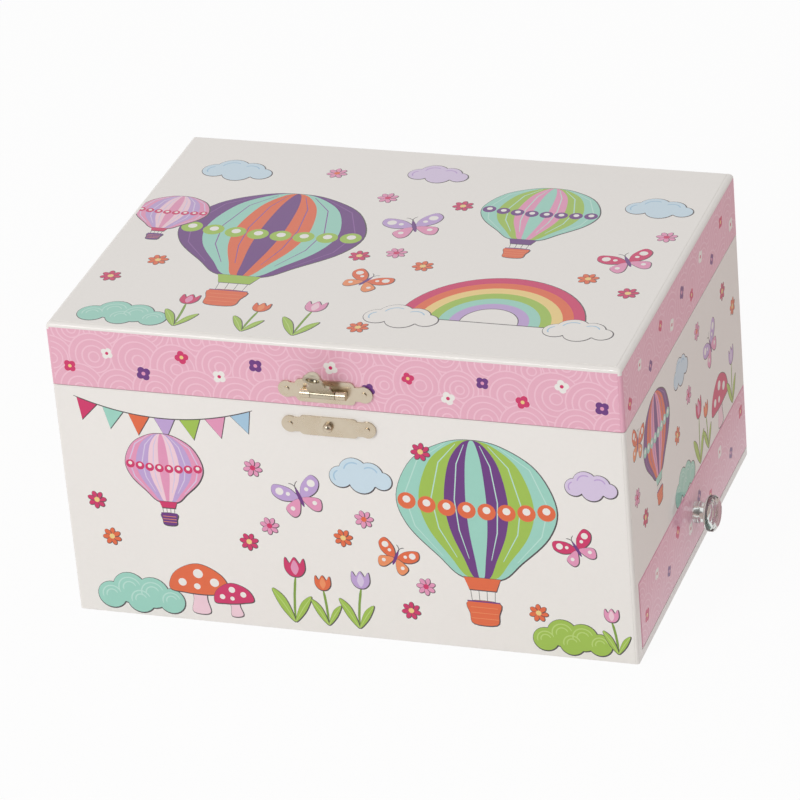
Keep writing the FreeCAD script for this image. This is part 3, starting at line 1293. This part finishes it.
def dancer_spring():
    """Coil of round wire: steady turns by quarter, with each end bent upright into its seat."""
    centre = V(BARREL_X, DANCER_Y, 0)
    low = CUP_TOP + 2 * SPRING_WIRE_RADIUS + SPRING_COIL_RADIUS * 0.5
    slope = SPRING_PITCH / (2 * math.pi * SPRING_COIL_RADIUS)

    def place(turn):
        angle = 2 * math.pi * turn
        flat = V(math.cos(angle), math.sin(angle), 0) * SPRING_COIL_RADIUS
        return centre + flat + Z_AXIS * (low + SPRING_COIL_RADIUS * 0.5 + SPRING_PITCH * turn)

    def heading(turn):
        angle = 2 * math.pi * turn
        way = V(-math.sin(angle), math.cos(angle), slope)
        return way * (1 / way.Length)

    bend = SPRING_COIL_RADIUS * 0.5
    first = place(0) - heading(0) * bend - Z_AXIS * bend
    last = place(SPRING_TURNS) + heading(SPRING_TURNS) * bend + Z_AXIS * bend
    edges = [Part.makeLine(first - Z_AXIS * (first.z - CUP_TOP), first)]
    edges += biarc(first, Z_AXIS, place(0), heading(0))
    quarters = 4 * SPRING_TURNS
    for i in range(quarters):
        edges += biarc(place(i / 4), heading(i / 4), place((i + 1) / 4), heading((i + 1) / 4))
    edges += biarc(place(SPRING_TURNS), heading(SPRING_TURNS), last, Z_AXIS)
    edges.append(Part.makeLine(last, V(last.x, last.y, FOOT_LOW)))
    path = Part.Wire(Part.__sortEdges__(edges))
    start = V(first.x, first.y, CUP_TOP)
    corners = []
    for i in range(SPRING_WIRE_SIDES + 1):
        angle = 2 * math.pi * i / SPRING_WIRE_SIDES
        corners.append(start + V(math.cos(angle), math.sin(angle), 0) * SPRING_WIRE_RADIUS)
    report_spring_gap(place)
    return path.makePipeShell([Part.makePolygon(corners)], True, False)


def report_spring_gap(place):
    """Prints the least clear gap between neighbouring turns of the spring."""
    steps = 16
    gaps = [
        (place(i / steps + 1) - place(i / steps)).Length - 2 * SPRING_WIRE_RADIUS
        for i in range(steps * (SPRING_TURNS - 1))
    ]
    print("least gap between the spring's turns:", round(min(gaps), 3), "mm")


def ballerina_figure():
    """Moulded doll on a small round foot: legs together on point, arms raised in a ring."""
    tall = FIGURE_HEIGHT
    foot = FOOT_LOW
    shape = [
        (SPRING_COIL_RADIUS + 1.0, 0.0),
        (SPRING_COIL_RADIUS + 1.0, 0.03),
        (0.9, 0.035),
        (0.8, 0.07),
        (1.5, 0.19),
        (1.2, 0.27),
        (2.1, 0.40),
        (2.7, 0.47),
        (1.7, 0.56),
        (2.4, 0.64),
        (2.2, 0.68),
        (0.9, 0.705),
        (0.9, 0.75),
    ]
    outline = [(0, 0, foot)]
    outline += [(radius, 0, foot + share * tall) for radius, share in shape]
    outline.append((0, 0, foot + shape[-1][1] * tall))
    body = revolved(outline, Z_AXIS)
    head_z = foot + tall * 0.75 + HEAD_RADIUS * 0.7
    head = Part.makeSphere(HEAD_RADIUS, V(0, 0, head_z))
    bun = Part.makeSphere(HEAD_RADIUS * 0.5, V(0, HEAD_RADIUS * 0.45, head_z + HEAD_RADIUS * 1.05))
    solids = [body, head, bun]
    shoulder_z = foot + tall * 0.665
    hand_z = foot + tall * 0.97
    for side in (-1, 1):
        start = V(side * 2.0, 0, shoulder_z)
        middle = V(side * (HEAD_RADIUS + 2.6), -HEAD_RADIUS * 0.4, (shoulder_z + hand_z) / 2)
        end = V(side * 0.9, -HEAD_RADIUS * 0.4, hand_z)
        arc = Part.Arc(start, middle, end).toShape()
        section = Part.Wire(Part.makeCircle(ARM_RADIUS, start, arc.tangentAt(arc.FirstParameter)))
        solids.append(Part.Wire([arc]).makePipeShell([section], True, False))
        solids.append(Part.makeSphere(ARM_RADIUS, end))
    figure = solids[0].multiFuse(solids[1:])
    figure.translate(V(BARREL_X, DANCER_Y, 0))
    return figure


def tutu():
    """Gathered net skirt: a flat ring that ripples more towards its hem."""
    waist = 2.9
    waist_z = FOOT_LOW + FIGURE_HEIGHT * 0.5
    droop = TUTU_RADIUS * 0.12
    steps = 2 * TUTU_FOLDS

    def ring(radius, low):
        points = []
        share = (radius - waist) / (TUTU_RADIUS - waist)
        for i in range(steps):
            angle = 2 * math.pi * i / steps
            ripple = TUTU_WAVE * share * (1 if i % 2 else -1)
            z = waist_z - droop * share + ripple - (TUTU_THICK if low else 0)
            points.append(V(radius * math.cos(angle), radius * math.sin(angle), z))
        return points

    rings = [ring(waist, False), ring(TUTU_RADIUS, False), ring(TUTU_RADIUS, True), ring(waist, True)]
    faces = []
    for a, b in zip(rings, rings[1:] + rings[:1]):
        for i in range(steps):
            j = (i + 1) % steps
            for corners in ((a[i], b[i], b[j]), (a[i], b[j], a[j])):
                faces.append(Part.Face(Part.makePolygon(list(corners) + [corners[0]])))
    skirt = Part.Solid(Part.Shell(faces))
    if skirt.Volume < 0:
        skirt.reverse()
    skirt.translate(V(BARREL_X, DANCER_Y, 0))
    return skirt


def main():
    os.makedirs("parts", exist_ok=True)
    save("base_board", base_board())
    save("front_panel", front_panel())
    save("back_panel", back_panel())
    save("left_panel", left_panel())
    save("right_panel", right_panel())
    save("bay_wall", bay_wall())
    save("compartment_floor", compartment_floor())
    save("compartment_lining", compartment_lining())
    save("ring_divider", ring_divider())
    save("cross_divider", cross_divider())
    save("ring_rolls", ring_rolls())
    save("keeper_plate", keeper_plate())
    save("keeper_stud", keeper_stud())
    save("keeper_nails", keeper_nails)
    save("hinge_nails_case", case_hinge_nails)
    hinges = (-HINGE_SPACING / 2, HINGE_SPACING / 2)
    save("hinge_case_leaves", Part.makeCompound([hinge_leaf(x, -1) for x in hinges]))
    save("hinge_lid_leaves", Part.makeCompound([hinge_leaf(x, 1) for x in hinges]))
    save("hinge_pins", Part.makeCompound([hinge_pin(x) for x in hinges]))
    save("hinge_nails_lid", lid_hinge_nails)
    save("lid_top", lid_top())
    save("lid_front_rail", lid_front_rail())
    save("lid_back_rail", lid_back_rail())
    save("lid_left_rail", lid_left_rail())
    save("lid_right_rail", lid_right_rail())
    save("lid_lining", lid_lining())
    save("lid_mirror", mirror())
    save("mirror_frame", mirror_frame())
    save("clasp_plate", clasp_plate())
    save("clasp_pin", clasp_pin())
    save("clasp_nails", clasp_nails)
    save("clasp_flap", clasp_flap())
    save("drawer_front", drawer_front())
    save("drawer_bottom", drawer_bottom())
    sides = [drawer_side(DRAWER_NEAR), drawer_side(DRAWER_FAR - DRAWER_SIDE_THICK)]
    save("drawer_sides", Part.makeCompound(sides))
    save("drawer_rear", drawer_rear())
    save("drawer_lining", drawer_lining())
    save("drawer_knob", drawer_knob())
    save("knob_screw", knob_screw())
    save("movement_bed", movement_bed())
    save("movement_screws", movement_screws)
    save("spring_barrel", spring_barrel())
    save("mainspring", mainspring())
    save("winding_arbor", winding_arbor())
    save("winding_key", winding_key())
    save("pinned_cylinder", pinned_cylinder())
    save("cylinder_arbor", cylinder_arbor())
    save("cylinder_pinion", cylinder_pinion())
    save("cylinder_gear", cylinder_gear())
    save("steel_comb", steel_comb())
    save("comb_screws", comb_screws)
    save("governor_wheel", governor_wheel())
    save("fan_worm", fan_worm())
    save("stop_rod", stop_rod())
    save("stop_rod_guide", stop_rod_guide())
    save("movement_cover", movement_cover())
    save("spindle_bush", spindle_bush())
    save("dancer_spindle", dancer_spindle())
    save("dancer_spring", dancer_spring())
    save("ballerina_figure", ballerina_figure())
    save("tutu", tutu())


main()
